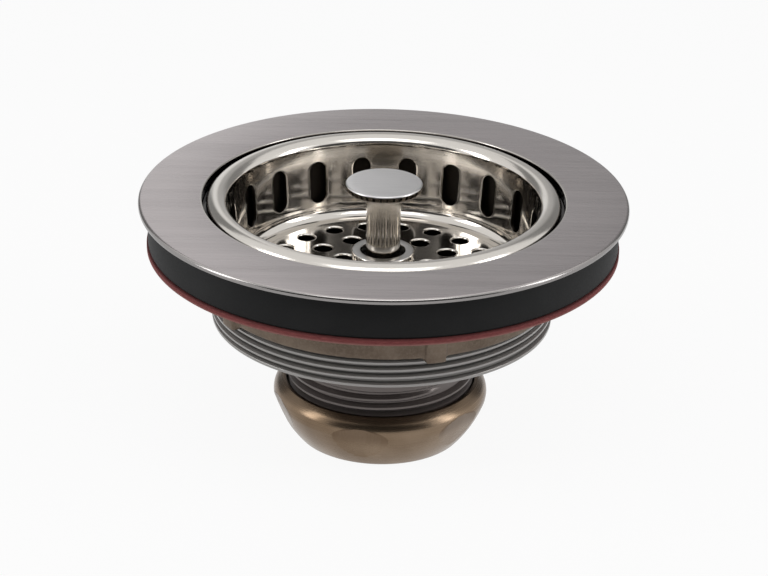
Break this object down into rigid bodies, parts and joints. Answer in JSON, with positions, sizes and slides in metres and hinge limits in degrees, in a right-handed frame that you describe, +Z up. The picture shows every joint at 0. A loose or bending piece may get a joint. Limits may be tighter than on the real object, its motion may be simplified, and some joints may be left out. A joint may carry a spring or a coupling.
{
  "type": "basket strainer waste",
  "caption": "Kitchen sink basket strainer waste: brushed flange over gasket, fibre washer and locknut, slotted lift-out basket with a knob stopper, and a threaded outlet with coupling nut.",
  "frame": {"origin": "on the axis, in the plane of the flange's seat on the sink", "axes": "+Z up along the axis, out of the mouth; -Y towards the viewer of the picture"},
  "size_m": [0.1142, 0.1142, 0.0638],
  "materials": {
    "brushed_nickel": "brushed flange, plated thread",
    "polished_nickel": "polished",
    "black_rubber": "matte",
    "red_fibre": "matte pressed fibre",
    "cast_bronze": "rough cast",
    "machined_brass": "satin machined",
    "plated_steel": "bright plated"
  },
  "bodies": {
    "strainer": {"strainer_body": "brushed_nickel", "basket_cup": "polished_nickel", "stem_guide": "polished_nickel", "guide_nut": "plated_steel", "packing_ring": "black_rubber"},
    "stopper": {"knob_stem": "polished_nickel", "upper_washer": "plated_steel", "stopper_seal": "black_rubber", "lower_washer": "plated_steel", "stem_nut": "plated_steel"},
    "clamp_stack": {"sink_gasket": "black_rubber", "friction_washer": "red_fibre"},
    "clamp_nut": {"locknut": "cast_bronze"},
    "tail_seal": {"tailpiece_washer": "black_rubber"},
    "tail_nut": {"coupling_nut": "machined_brass"}
  },
  "joints": [
    {"name": "stopper_lift", "type": "slide", "parent": "strainer", "child": "stopper", "axis": [0, 0, 1], "range_m": [0, 0.0064]},
    {"name": "clamp_slide", "type": "slide", "parent": "strainer", "child": "clamp_stack", "axis": [0, 0, -1], "range_m": [0, 0.00726]},
    {"name": "locknut_turn", "type": "hinge", "parent": "clamp_stack", "child": "clamp_nut", "pos_m": [0, 0, 0], "axis": [0, 0, -1], "range_deg": [0, 1440]},
    {"name": "tail_slide", "type": "slide", "parent": "strainer", "child": "tail_seal", "axis": [0, 0, -1], "range_m": [0, 0.00553]},
    {"name": "coupling_turn", "type": "hinge", "parent": "tail_seal", "child": "tail_nut", "pos_m": [0, 0, 0], "axis": [0, 0, -1], "range_deg": [0, 900]}
  ],
  "couplings": [
    {"joint": "clamp_slide", "follows": "locknut_turn", "m_per_rad": 0.00028871},
    {"joint": "tail_slide", "follows": "coupling_turn", "m_per_rad": 0.00035157}
  ]
}
